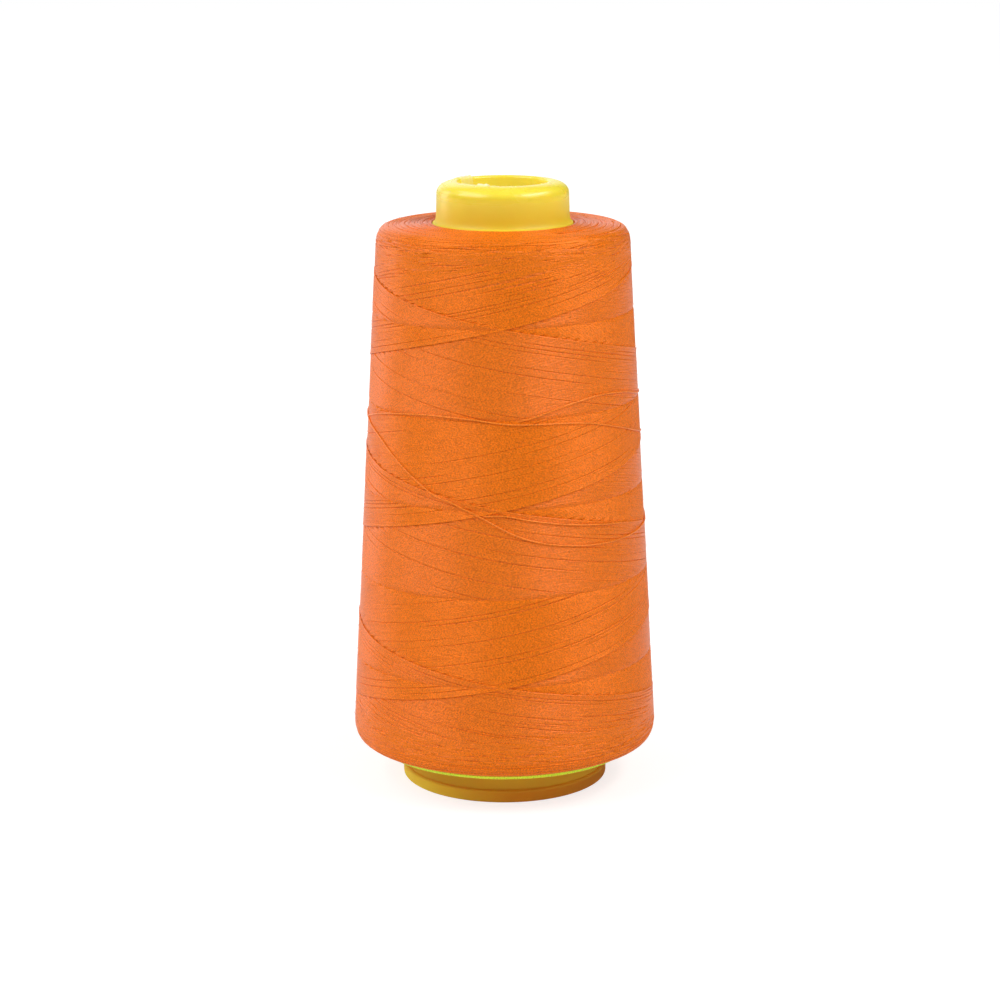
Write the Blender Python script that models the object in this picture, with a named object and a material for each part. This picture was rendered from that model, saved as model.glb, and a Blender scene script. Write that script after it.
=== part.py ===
"""A cone of sewing thread: a hollow moulded plastic cone that carries a cross-wound package.

The cone stands on its foot with its axis on +Z, and its foot's middle is the origin.
Sizes are in millimetres here and are turned into metres as each outline is turned.
"""

import math

import bmesh
import bpy

MM = 0.001
SEGMENTS = 72  # faces round every turned shape
MERGE_DISTANCE = 0.01 * MM
SHARP_ANGLE = math.radians(35)

# The whole cone
HEIGHT = 114.6
WALL = 1.3
CLEARANCE = 0.3  # between the plastic and the thread on it
SIDE_RINGS = (30.0, 56.0, 82.0)  # heights at which the long plain side is divided

# Foot: a low rim, and a cove that runs from it up into the cone
RIM_RADIUS = 19.6
RIM_HEIGHT = 2.4
RIM_EDGE = 0.3
RIM_SEAT = 17.3  # inner radius of the flat ring that the cone stands on
SEAT_DRAFT = 0.2
NECK_RADIUS = 18.1
NECK_TOP = 3.9

# Nose: a bead where the thread ends, a plain wall and a lip that rolls into a short collar
BEAD_RADIUS = 13.25
BEAD_LOW = 106.2
BEAD_TOP = 107.1
BEAD_EDGE = 0.15
NOSE_BASE_RADIUS = 12.95
NOSE_RADIUS = 12.35
FLARE_WIDTH = 0.25  # the nose's wall spreads a little where it meets the bead
FLARE_HEIGHT = 0.6
LIP_HEIGHT = 2.3
LIP_POWER = 2.6  # 2 is a plain ellipse, more is squarer
LIP_END = 82  # degrees round the lip where its curve passes into the collar's
LIP_WALL = 2.0
LIP_FILLET = 0.7
COLLAR_RADIUS = 8.35
COLLAR_WALL = 1.2
COLLAR_BOTTOM = 107.6
COLLAR_EDGE = 0.45
COLLAR_FILLET = 0.4

# Package of thread: a straight taper between two rounded shoulders
PACKAGE_LOW_RADIUS = 29.0
PACKAGE_LOW_Z = 11.1
PACKAGE_TOP_RADIUS = 23.8
PACKAGE_TOP_Z = 102.0
LOW_SHOULDER_WIDTH = 1.5
LOW_SHOULDER_HEIGHT = 3.0
UNDERSIDE_RADIUS = 24.5
UNDERSIDE_Z = 6.9
UNDERSIDE_INNER_Z = 6.2
TOP_SHOULDER_WIDTH = 3.3
TOP_SHOULDER_HEIGHT = 4.9
TOP_SHOULDER_POWER = 2.8
TOP_INNER_Z = 107.0
TOP_FLAT = 2.5  # width of the level ring of thread round the nose
WALL_ROWS = 40

# Lay of the thread: rising and falling turns whose newest edges cross at the front
PITCH = 32.85
RISING_START = 25.2
FALLING_START = 25.0
LAY_LEAN = 0.45
RIBBON_STEP = 0.35  # height of a ribbon's newest edge above the turns that it covers
RIBBON_RAMP = 0.12  # share of the pitch over which that edge rises
RIBBON_FADE = 6.0  # height over which the ribbons die out at either shoulder

PLASTIC_YELLOW = (0.89, 0.66, 0.06)
PLASTIC_ROUGHNESS = 0.28
THREAD_ORANGE = (0.82, 0.19, 0.03)
THREAD_ROUGHNESS = 0.7


def material(name, colour, roughness):
    made = bpy.data.materials.new(name)
    made.use_nodes = True
    shader = made.node_tree.nodes["Principled BSDF"]
    shader.inputs["Base Color"].default_value = (*colour, 1.0)
    shader.inputs["Roughness"].default_value = roughness
    shader.inputs["Metallic"].default_value = 0.0
    return made


def quarter(centre, size, start, end, steps, power=2.0):
    """Points (radius, z) on a rounded corner, from start to end degrees round its centre."""
    points = []
    for step in range(steps + 1):
        angle = math.radians(start + (end - start) * step / steps)
        across, up = math.cos(angle), math.sin(angle)
        across = math.copysign(abs(across) ** (2 / power), across)
        up = math.copysign(abs(up) ** (2 / power), up)
        points.append((centre[0] + size[0] * across, centre[1] + size[1] * up))
    return points


def turned(name, outline, finish):
    """A closed outline of (radius, z) points, taken anticlockwise, turned once round Z."""
    mesh = bmesh.new()
    ring = [mesh.verts.new((radius * MM, 0.0, z * MM)) for radius, z in outline]
    edges = [mesh.edges.new((ring[i - 1], ring[i])) for i in range(len(ring))]
    bmesh.ops.spin(
        mesh,
        geom=ring + edges,
        cent=(0, 0, 0),
        axis=(0, 0, 1),
        angle=math.tau,
        steps=SEGMENTS,
        use_duplicate=False,
    )
    bmesh.ops.remove_doubles(mesh, verts=mesh.verts, dist=MERGE_DISTANCE)
    bmesh.ops.recalc_face_normals(mesh, faces=mesh.faces)
    data = bpy.data.meshes.new(name)
    mesh.to_mesh(data)
    mesh.free()
    data.shade_smooth()
    data.set_sharp_from_angle(angle=SHARP_ANGLE)
    data.materials.append(finish)
    piece = bpy.data.objects.new(name, data)
    bpy.context.scene.collection.objects.link(piece)
    return piece


def cone_radius(z):
    """Outer radius of the plastic between its neck and its nose."""
    share = (z - NECK_TOP) / (BEAD_LOW - NECK_TOP)
    return NECK_RADIUS + (NOSE_BASE_RADIUS - NECK_RADIUS) * share


def foot_outline():
    """The rim's outer side, and the cove up to the neck."""
    rim = [
        (RIM_SEAT + RIM_EDGE, 0.0),
        (RIM_RADIUS - RIM_EDGE, 0.0),
        (RIM_RADIUS, RIM_EDGE),
        (RIM_RADIUS, RIM_HEIGHT - RIM_EDGE),
    ]
    cove_centre = (RIM_RADIUS - RIM_EDGE, NECK_TOP)
    cove_size = (RIM_RADIUS - RIM_EDGE - NECK_RADIUS, NECK_TOP - RIM_HEIGHT)
    return rim + quarter(cove_centre, cove_size, 270, 180, 4)


def nose_outline():
    """The bead, the nose's wall, and its lip as far as the collar's mouth."""
    bead = [
        (NOSE_BASE_RADIUS, BEAD_LOW),
        (BEAD_RADIUS, BEAD_LOW + BEAD_EDGE),
        (BEAD_RADIUS, BEAD_TOP - BEAD_EDGE),
        (BEAD_RADIUS - BEAD_EDGE, BEAD_TOP),
    ]
    flare = [
        (NOSE_RADIUS + FLARE_WIDTH, BEAD_TOP),
        (NOSE_RADIUS, BEAD_TOP + FLARE_HEIGHT),
    ]
    lip_centre = (COLLAR_RADIUS, HEIGHT - LIP_HEIGHT)
    lip_size = (NOSE_RADIUS - COLLAR_RADIUS, LIP_HEIGHT)
    lip = quarter(lip_centre, lip_size, 0, LIP_END, 9, LIP_POWER)
    mouth_centre = (COLLAR_RADIUS + COLLAR_EDGE, HEIGHT - COLLAR_EDGE)
    return bead + flare + lip + quarter(mouth_centre, (COLLAR_EDGE, COLLAR_EDGE), 100, 180, 3)


def hollow_outline():
    """The collar, the hollow behind it, and the cone's inner side down to the foot."""
    collar_outer = COLLAR_RADIUS + COLLAR_WALL
    hollow_top = HEIGHT - LIP_WALL
    collar = [
        (COLLAR_RADIUS, COLLAR_BOTTOM),
        (collar_outer, COLLAR_BOTTOM),
        (collar_outer, hollow_top - COLLAR_FILLET),
        (collar_outer + COLLAR_FILLET, hollow_top),
    ]
    lip_centre = (NOSE_RADIUS - WALL - LIP_FILLET, hollow_top - LIP_FILLET)
    under_lip = quarter(lip_centre, (LIP_FILLET, LIP_FILLET), 90, 0, 2)
    inside = [(NOSE_BASE_RADIUS - WALL, BEAD_LOW)]
    inside += [(cone_radius(z) - WALL, z) for z in reversed(SIDE_RINGS)]
    inside += [(NECK_RADIUS - WALL, NECK_TOP + WALL)]
    seat = [(RIM_SEAT - SEAT_DRAFT, RIM_HEIGHT), (RIM_SEAT, RIM_EDGE)]
    return collar + under_lip + inside + seat


def cone_outline():
    """The moulding's section: up its outer side, over the lip, and down inside."""
    side = [(cone_radius(z), z) for z in SIDE_RINGS]
    return foot_outline() + side + nose_outline() + hollow_outline()


def package_radius(z):
    share = (z - PACKAGE_LOW_Z) / (PACKAGE_TOP_Z - PACKAGE_LOW_Z)
    return PACKAGE_LOW_RADIUS + (PACKAGE_TOP_RADIUS - PACKAGE_LOW_RADIUS) * share


def package_outline():
    """The thread's section: along its underside, up its taper, and in over its top."""
    bore_low = cone_radius(UNDERSIDE_INNER_Z) + CLEARANCE
    bore_top = BEAD_RADIUS + CLEARANCE
    underside = [(bore_low, UNDERSIDE_INNER_Z), (UNDERSIDE_RADIUS, UNDERSIDE_Z)]
    low_centre = (PACKAGE_LOW_RADIUS - LOW_SHOULDER_WIDTH, PACKAGE_LOW_Z)
    low_size = (LOW_SHOULDER_WIDTH, LOW_SHOULDER_HEIGHT)
    low_shoulder = quarter(low_centre, low_size, -90, 0, 4)
    climb = PACKAGE_TOP_Z - PACKAGE_LOW_Z
    rows = [PACKAGE_LOW_Z + climb * row / WALL_ROWS for row in range(1, WALL_ROWS)]
    taper = [(package_radius(z), z) for z in rows]
    top_centre = (PACKAGE_TOP_RADIUS - TOP_SHOULDER_WIDTH, PACKAGE_TOP_Z)
    top_size = (TOP_SHOULDER_WIDTH, TOP_SHOULDER_HEIGHT)
    top_shoulder = quarter(top_centre, top_size, 0, 90, 7, TOP_SHOULDER_POWER)
    top = [(bore_top + TOP_FLAT, TOP_INNER_Z), (bore_top, TOP_INNER_Z)]
    bore = [(bore_top, BEAD_LOW - CLEARANCE)]
    bore += [(cone_radius(z) + CLEARANCE, z) for z in reversed(SIDE_RINGS)]
    return underside + low_shoulder + taper + top_shoulder + top + bore


def ribbon_height(start, rising, angle, z):
    """Height of one set of turns: a step at its newest edge, and a long fall behind it."""
    level = z - LAY_LEAN * math.sin(angle) - start
    behind = (level if rising else -level) / PITCH - angle / math.tau
    behind -= math.floor(behind)
    if behind < 1 - RIBBON_RAMP:
        return RIBBON_STEP * (1 - behind / (1 - RIBBON_RAMP))
    return RIBBON_STEP * (behind - 1 + RIBBON_RAMP) / RIBBON_RAMP


def raise_ribbons(package):
    """Pushes the package's side out by the two crossing sets of turns, less at its ends."""
    for vertex in package.data.vertices:
        x, y, z = (value / MM for value in vertex.co)
        radius = math.hypot(x, y)
        inset = package_radius(z) - radius
        from_end = min(z - PACKAGE_LOW_Z, PACKAGE_TOP_Z - z)
        share = max(0.0, min(1.0, 0.5 + from_end / RIBBON_FADE)) * (inset < LOW_SHOULDER_WIDTH)
        angle = math.atan2(x, -y)
        rise = ribbon_height(RISING_START, True, angle, z)
        rise += ribbon_height(FALLING_START, False, angle, z) - RIBBON_STEP
        grow = 1 + share * rise / radius
        vertex.co.x *= grow
        vertex.co.y *= grow


def build():
    for old in list(bpy.data.objects):
        bpy.data.objects.remove(old)
    plastic = material("yellow_plastic", PLASTIC_YELLOW, PLASTIC_ROUGHNESS)
    thread = material("orange_thread", THREAD_ORANGE, THREAD_ROUGHNESS)
    reference = bpy.data.objects.new("cone_of_thread", None)
    bpy.context.scene.collection.objects.link(reference)
    tube = turned("cone_tube", cone_outline(), plastic)
    package = turned("thread_package", package_outline(), thread)
    raise_ribbons(package)
    for piece in (tube, package):
        piece.parent = reference


build()
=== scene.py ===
"""A cone of sewing thread: its moulded cone, and its cross-wound turns laid one by one.

Sizes are in millimetres unless a name says otherwise; each mesh is made in metres.
"""

import math

import bpy
import numpy as np
from mathutils import Matrix, Vector
from numpy.lib.stride_tricks import sliding_window_view


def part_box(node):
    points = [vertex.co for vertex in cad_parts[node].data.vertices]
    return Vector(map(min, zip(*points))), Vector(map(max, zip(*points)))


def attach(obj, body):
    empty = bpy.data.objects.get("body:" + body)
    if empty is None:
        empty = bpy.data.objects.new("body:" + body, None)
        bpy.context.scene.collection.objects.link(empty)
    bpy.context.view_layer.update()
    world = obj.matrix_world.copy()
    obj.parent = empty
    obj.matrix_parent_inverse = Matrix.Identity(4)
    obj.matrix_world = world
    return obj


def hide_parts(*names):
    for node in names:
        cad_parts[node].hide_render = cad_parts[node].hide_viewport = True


MM = 0.001
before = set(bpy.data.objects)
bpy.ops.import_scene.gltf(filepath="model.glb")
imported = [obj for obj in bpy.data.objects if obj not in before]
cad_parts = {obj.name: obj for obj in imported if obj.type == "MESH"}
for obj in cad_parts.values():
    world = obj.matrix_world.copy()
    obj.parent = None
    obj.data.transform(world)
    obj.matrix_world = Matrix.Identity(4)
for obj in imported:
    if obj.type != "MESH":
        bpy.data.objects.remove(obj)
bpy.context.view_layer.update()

# ---------------------------------------------------------------- sizes

tube_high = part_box("cone_tube")[1] / MM
package_low, package_high = (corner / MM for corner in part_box("thread_package"))

# The moulded cone
HEIGHT = tube_high.z
RIM_RADIUS = tube_high.x
WALL = 1.3
RIM_HEIGHT = 2.4
RIM_EDGE = 0.45
RIM_LEDGE = 0.15  # left flat on the rim's top, outside the neck's hollow
RIM_SEAT = RIM_RADIUS - 2.3
SEAT_LEAN = 0.2  # how far the rim's inner side leans inwards
NECK_RADIUS = RIM_RADIUS - 1.5
NECK_TOP = 5.4
NECK_POWER = 1.12  # a shallow hollow, close to a straight slope
CONE_SIDE_LOW = 12.0  # out of sight under the thread
HOLLOW_LOW = NECK_TOP + 1.0
BEAD_RADIUS = 13.1
BEAD_LOW = 106.2
BEAD_TOP = 107.05
BEAD_POWER = 3.2
NOSE_BASE_RADIUS = 12.85
NOSE_WALL_RADIUS = 12.4
NOSE_RADIUS = 12.32
FLARE_WIDTH = 0.5
FLARE_HEIGHT = 1.7
LIP_LOW = HEIGHT - 2.5
LIP_POWER = 2.55
LIP_EXTRA = 0.7  # the lip is this much thicker than the wall
LIP_HOLLOW_EDGE = 0.7
COLLAR_RADIUS = 8.35
COLLAR_WALL = 1.2
COLLAR_MIDDLE = HEIGHT - 5.0
COLLAR_BOTTOM = 107.6
COLLAR_EDGE = 0.45
COLLAR_FOOT_EDGE = 0.3
COLLAR_ROOT_EDGE = 0.4

# The package of thread
UNDERSIDE_INNER_Z = package_low.z
UNDERSIDE_Z = UNDERSIDE_INNER_Z + 0.7
UNDERSIDE_RADIUS = 24.5
LOW_RADIUS = 29.0
LOW_Z = 11.1
LOW_SHOULDER = (1.5, 3.0)
TOP_RADIUS = 23.8
TOP_Z = 102.0
TOP_SHOULDER = (3.1, 4.65)
TOP_SHOULDER_POWER = 2.8
TOP_INNER_Z = package_high.z
TOP_RING = 2.5  # width of the level thread round the bead
BORE_CLEARANCE = 0.3

# The thread and its lay
THREAD = 0.25  # height of one turn on another
THREAD_WIDTH = 0.39  # a turn is pressed flat, over the edges of its neighbours
SPACING = 0.27
PITCH = 32.85
RISING_START = 25.2
FALLING_START = 25.0
LAY_LEAN = 0.45
TURN_LOW = 8.675  # where a rising stroke would start if it turned at once
TURN_TOP = 107.225
STROKES = round(PITCH / SPACING)

ROUND = 192  # faces round the moulded cone


# ---------------------------------------------------------------- modelling helpers


def deselect():
    bpy.ops.object.select_all(action="DESELECT")


def quarter(centre, size, start, end, steps, power=2.0):
    """Points (radius, z) on a rounded corner, from start to end degrees round its centre."""
    points = []
    for angle in np.radians(np.linspace(start, end, steps + 1)):
        across, up = math.cos(angle), math.sin(angle)
        across = math.copysign(abs(across) ** (2 / power), across)
        up = math.copysign(abs(up) ** (2 / power), up)
        points.append((centre[0] + size[0] * across, centre[1] + size[1] * up))
    return points


def turned(name, outline, steps):
    """Draws a closed outline of (radius, z) points, and spins it once round Z."""
    deselect()
    start = outline[0]
    bpy.ops.mesh.primitive_plane_add(size=MM, location=(start[0] * MM, 0, start[1] * MM))
    piece = bpy.context.active_object
    piece.name = piece.data.name = name
    bpy.ops.object.transform_apply(location=True, rotation=True, scale=True)
    bpy.ops.object.mode_set(mode="EDIT")
    bpy.ops.mesh.merge(type="CENTER")
    for before, after in zip(outline, outline[1:]):
        step = ((after[0] - before[0]) * MM, 0, (after[1] - before[1]) * MM)
        bpy.ops.mesh.extrude_vertices_move(TRANSFORM_OT_translate={"value": step})
    last = len(outline) - 1
    bpy.ops.object.mode_set(mode="OBJECT")
    for vertex in piece.data.vertices:
        vertex.select = vertex.index in (0, last)
    bpy.ops.object.mode_set(mode="EDIT")
    bpy.ops.mesh.edge_face_add()
    bpy.ops.mesh.select_all(action="SELECT")
    bpy.ops.mesh.spin(steps=steps, angle=math.tau, center=(0, 0, 0), axis=(0, 0, 1))
    bpy.ops.mesh.select_all(action="SELECT")
    bpy.ops.mesh.remove_doubles(threshold=0.002 * MM)
    bpy.ops.mesh.normals_make_consistent(inside=False)
    bpy.ops.object.mode_set(mode="OBJECT")
    bpy.ops.object.shade_smooth_by_angle(angle=math.radians(40))
    return piece


# ---------------------------------------------------------------- the moulded cone


def cone_radius(z):
    """Outer radius of the plastic between its neck and its nose."""
    share = (z - NECK_TOP) / (BEAD_LOW - NECK_TOP)
    return NECK_RADIUS + (NOSE_BASE_RADIUS - NECK_RADIUS) * share


def nose_wall():
    """The nose's wall: a hollow flare off the bead, and a nearly upright side."""
    low = BEAD_TOP + FLARE_HEIGHT
    centre = (NOSE_WALL_RADIUS + FLARE_WIDTH, low)
    flare = quarter(centre, (FLARE_WIDTH, FLARE_HEIGHT), 270, 180, 5)
    side = []
    for share in (0.33, 0.67):
        radius = NOSE_WALL_RADIUS + (NOSE_RADIUS - NOSE_WALL_RADIUS) * share
        side.append((radius, low + (LIP_LOW - low) * share))
    return flare + side


def collar_and_hollow():
    """Down the collar, round its foot, up its back and out under the lip."""
    foot = (COLLAR_FOOT_EDGE, COLLAR_FOOT_EDGE)
    root = (COLLAR_ROOT_EDGE, COLLAR_ROOT_EDGE)
    hollow = (LIP_HOLLOW_EDGE, LIP_HOLLOW_EDGE)
    foot_z = COLLAR_BOTTOM + COLLAR_FOOT_EDGE
    back = COLLAR_RADIUS + COLLAR_WALL
    top = HEIGHT - WALL - LIP_EXTRA
    collar = [(COLLAR_RADIUS, LIP_LOW), (COLLAR_RADIUS, COLLAR_MIDDLE)]
    collar += quarter((COLLAR_RADIUS + COLLAR_FOOT_EDGE, foot_z), foot, 180, 270, 3)
    collar += quarter((back - COLLAR_FOOT_EDGE, foot_z), foot, 270, 360, 3)
    collar += quarter((back + COLLAR_ROOT_EDGE, top - COLLAR_ROOT_EDGE), root, 180, 90, 3)
    hollow_centre = (NOSE_RADIUS - WALL - LIP_HOLLOW_EDGE, top - LIP_HOLLOW_EDGE)
    return collar + quarter(hollow_centre, hollow, 90, 0, 4)


def cone_outline():
    """The moulding's section: up its outer side, over the lip, and down inside."""
    edge = (RIM_EDGE, RIM_EDGE)
    rim = quarter((RIM_RADIUS - RIM_EDGE, RIM_EDGE), edge, -90, 0, 4)
    rim += quarter((RIM_RADIUS - RIM_EDGE, RIM_HEIGHT - RIM_EDGE), edge, 0, 90, 4)
    cove_size = (RIM_RADIUS - RIM_EDGE - RIM_LEDGE - NECK_RADIUS, NECK_TOP - RIM_HEIGHT)
    cove = quarter((NECK_RADIUS + cove_size[0], NECK_TOP), cove_size, 270, 180, 8, NECK_POWER)
    side = [(cone_radius(z), z) for z in np.linspace(CONE_SIDE_LOW, BEAD_LOW - 0.1, 12)]
    bead_middle = (BEAD_LOW + BEAD_TOP) / 2
    bead_size = (BEAD_RADIUS - NOSE_BASE_RADIUS, BEAD_TOP - bead_middle)
    bead = quarter((NOSE_BASE_RADIUS, bead_middle), bead_size, -70, 80, 8, BEAD_POWER)
    lip_size = (NOSE_RADIUS - COLLAR_RADIUS, HEIGHT - LIP_LOW)
    lip = quarter((COLLAR_RADIUS, LIP_LOW), lip_size, 0, 82, 18, LIP_POWER)
    mouth_centre = (COLLAR_RADIUS + COLLAR_EDGE, HEIGHT - COLLAR_EDGE)
    mouth = quarter(mouth_centre, (COLLAR_EDGE, COLLAR_EDGE), 100, 180, 6)
    outer = rim + cove + side + bead + nose_wall() + lip
    inside = [(cone_radius(z) - WALL, z) for z in np.linspace(BEAD_LOW, HOLLOW_LOW, 10)]
    seat = [(RIM_SEAT - SEAT_LEAN, RIM_HEIGHT), (RIM_SEAT, RIM_EDGE), (RIM_SEAT + RIM_EDGE, 0.0)]
    return outer + mouth + collar_and_hollow() + inside + seat


# A moulding scar on the lip: raised places as (from degrees, to degrees, height, radius),
# with 0 degrees at the front
SCAR = (
    (-139.0, -112.0, 0.36, 9.0),
    (-60.0, -31.0, 0.16, 8.7),
    (-32.0, -15.0, 0.50, 8.9),
    (-16.0, -4.0, 0.14, 8.7),
)
SCAR_WIDTH = 0.75
SCAR_ENDS = 2.0  # degrees over which each raised place rises at its ends
SCAR_BELOW = 1.5  # how far below the lip's crest the scar can reach
WHITENED_RISE = 0.3  # where it stands this high, it is whitened all through
MOUTH_LOW = COLLAR_BOTTOM + 1.0  # above this, the inside of the mouth gets a painted glow
MOUTH_MARGIN = 0.1


def scar_height(radius, angle):
    """How far the scar stands above the lip's crest at a place on it."""
    height = 0.0
    for start, end, most, middle in SCAR:
        inside = min(angle - start, end - angle)
        across = math.exp(-(((radius - middle) / SCAR_WIDTH) ** 2))
        height = max(height, most * across * max(0.0, min(1.0, inside / SCAR_ENDS)))
    rough = 0.75 + 0.25 * math.sin(angle * 1.9) * math.sin(angle * 0.71 + 1.0)
    return height * rough


def make_moulded_cone():
    cone = turned("moulded_cone", cone_outline(), ROUND)
    whitened = cone.data.attributes.new("whitened", "FLOAT", "POINT")
    painted_mouth_glow = cone.data.attributes.new("painted_mouth_glow", "FLOAT", "POINT")
    for vertex in cone.data.vertices:
        x, y, z = vertex.co / MM
        radius = math.hypot(x, y)
        # inside the mouth the plastic is marked for a painted glow
        if z > MOUTH_LOW and radius < COLLAR_RADIUS + MOUTH_MARGIN:
            painted_mouth_glow.data[vertex.index].value = 1.0
        if z > HEIGHT - SCAR_BELOW:
            angle = math.degrees(math.atan2(x, -y))
            rise = scar_height(radius, angle)
            vertex.co.z += rise * MM
            whitened.data[vertex.index].value = min(1.0, rise / WHITENED_RISE)
    return cone


# ---------------------------------------------------------------- the package's side


def package_side():
    """The package's section as radius, height and distance up the side, from bore to bore.

    The distance equals the height on the straight taper and runs on over both shoulders.
    """
    underside = [(cone_radius(UNDERSIDE_INNER_Z) + BORE_CLEARANCE, UNDERSIDE_INNER_Z)]
    underside += [(UNDERSIDE_RADIUS, UNDERSIDE_Z)]
    low = quarter((LOW_RADIUS - LOW_SHOULDER[0], LOW_Z), LOW_SHOULDER, -90, 0, 8)
    top_centre = (TOP_RADIUS - TOP_SHOULDER[0], TOP_Z)
    top = quarter(top_centre, TOP_SHOULDER, 0, 90, 14, TOP_SHOULDER_POWER)
    top += [(BEAD_RADIUS + TOP_RING, TOP_INNER_Z), (BEAD_RADIUS + BORE_CLEARANCE, TOP_INNER_Z)]
    points = np.array(underside + low + top)
    lengths = np.hypot(*np.diff(points, axis=0).T)
    taper = len(underside + low) - 1
    lengths[taper] = TOP_Z - LOW_Z
    distance = np.concatenate([[0.0], np.cumsum(lengths)])
    distance += LOW_Z - distance[taper]
    return points[:, 0], points[:, 1], distance


side_radius, side_z, side_distance = package_side()
SIDE_START, SIDE_END = side_distance[0], side_distance[-1]


def side_at(distance):
    """Radius and height of a place on the package's side."""
    radius = np.interp(distance, side_distance, side_radius)
    return radius, np.interp(distance, side_distance, side_z)


def on_package(distance, angle, lift):
    """Points and outward directions, lift off the package's plain side."""
    radius, z = side_at(distance)
    reach = 0.6
    radius_before, z_before = side_at(distance - reach)
    radius_after, z_after = side_at(distance + reach)
    along_r, along_z = radius_after - radius_before, z_after - z_before
    length = np.hypot(along_r, along_z)
    out_r, out_z = along_z / length, -along_r / length
    turn = np.stack([np.sin(angle), -np.cos(angle)], axis=-1)
    outward = np.concatenate([turn * out_r[..., None], out_z[..., None]], axis=-1)
    points = np.concatenate([turn * radius[..., None], z[..., None]], axis=-1)
    return points + outward * lift[..., None], outward


# ---------------------------------------------------------------- laying the thread

COLUMNS = 72  # places round the package where each turn is set down
COLUMN_ANGLE = math.tau / COLUMNS
ROW = 0.03  # height of one row of the map of what lies on top
MAP_MARGIN = 2.0
MAP_LOW = SIDE_START - MAP_MARGIN
MAP_ROWS = int((SIDE_END + MAP_MARGIN - MAP_LOW) / ROW)
COVER = np.arange(-6, 7)  # rows that one turn covers
CROWN = THREAD / 2 * np.sqrt(1 - (COVER * ROW / (THREAD_WIDTH / 2)) ** 2)
AROUND = np.arange(-10, 11)  # rows searched for the surface at a place
EMERGING = 0.045  # difference in age over which a turn comes up from under newer ones
FRONT_STEP = 0.08  # how far the newer turns stand above the older ones beside them
FRONT_RIDE = 0.06  # how much higher the very newest ride over what they cross
FRONT_WIDTH = 0.014  # share of the pitch over which they settle
END_ZONE = 9.0  # height over which the strokes turn back at either end
SIDE_FROM = END_ZONE * 0.6  # this far from an end, turns begin to ride over each other
SIDE_OVER = END_ZONE * 0.7  # and over this height that grows to its full size
END_DEPTH = 0.06  # how far the oldest strokes lie below the newest there

RISING_GAPS = (  # dark lines: age in cycles, width
    (0.030, 0.20),
    (0.062, 0.26),
    (0.104, 0.36),
    (0.123, 0.28),
    (0.142, 0.34),
    (0.176, 0.24),
    (0.215, 0.22),
    (0.260, 0.40),
    (0.287, 0.32),
    (0.335, 0.22),
    (0.418, 0.38),
    (0.442, 0.26),
    (0.540, 0.26),
)
FALLING_GAPS = (
    (0.026, 0.26),
    (0.048, 0.30),
    (0.070, 0.28),
    (0.093, 0.22),
    (0.146, 0.40),
    (0.182, 0.22),
    (0.225, 0.26),
    (0.285, 0.36),
    (0.335, 0.24),
    (0.410, 0.40),
    (0.465, 0.24),
    (0.510, 0.30),
)
GAP_SPREAD = 0.015  # share of the pitch over which the turns beside a gap crowd together
GAP_OPENING = 0.42  # share of a gap's width by which the turns on either side give way


def age_at(distance, angle, rising):
    """Age of the turn that lies at a place, from 0 for the newest to 1 for the oldest."""
    level = distance - LAY_LEAN * np.sin(angle)
    climbed = (level - RISING_START) if rising else (FALLING_START - level)
    return np.mod(climbed / PITCH - angle / math.tau, 1.0)


def parted(age, gaps, strength):
    """How far a turn is pushed aside by the gaps between turns near its age."""
    push = np.zeros_like(strength)
    for place, width in gaps:
        away = age - place
        shift = math.copysign(width * GAP_OPENING, away) * math.exp(-abs(away) / GAP_SPREAD)
        push += shift * strength
    return push


class Crowding:
    """Turns lie a little closer together in some places than in others."""

    def __init__(self, seed, count=14, size=0.005):
        random = np.random.default_rng(seed)
        self.along = random.uniform(0.3, 3.0, count)
        self.across = random.uniform(8, 45, count) * random.choice((-1, 1), count)
        self.phase = random.uniform(0, math.tau, count)
        self.size = size

    def at(self, age, angle):
        waves = np.sin(angle[:, None] * self.along + math.tau * age * self.across + self.phase)
        return self.size * waves.sum(axis=1)


def windowed(table, reach, pick):
    """Each row of a table picked from those within reach of it."""
    padded = np.pad(table, ((reach, reach), (0, 0)), mode="edge")
    return pick(sliding_window_view(padded, 2 * reach + 1, axis=0), axis=-1)


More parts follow.
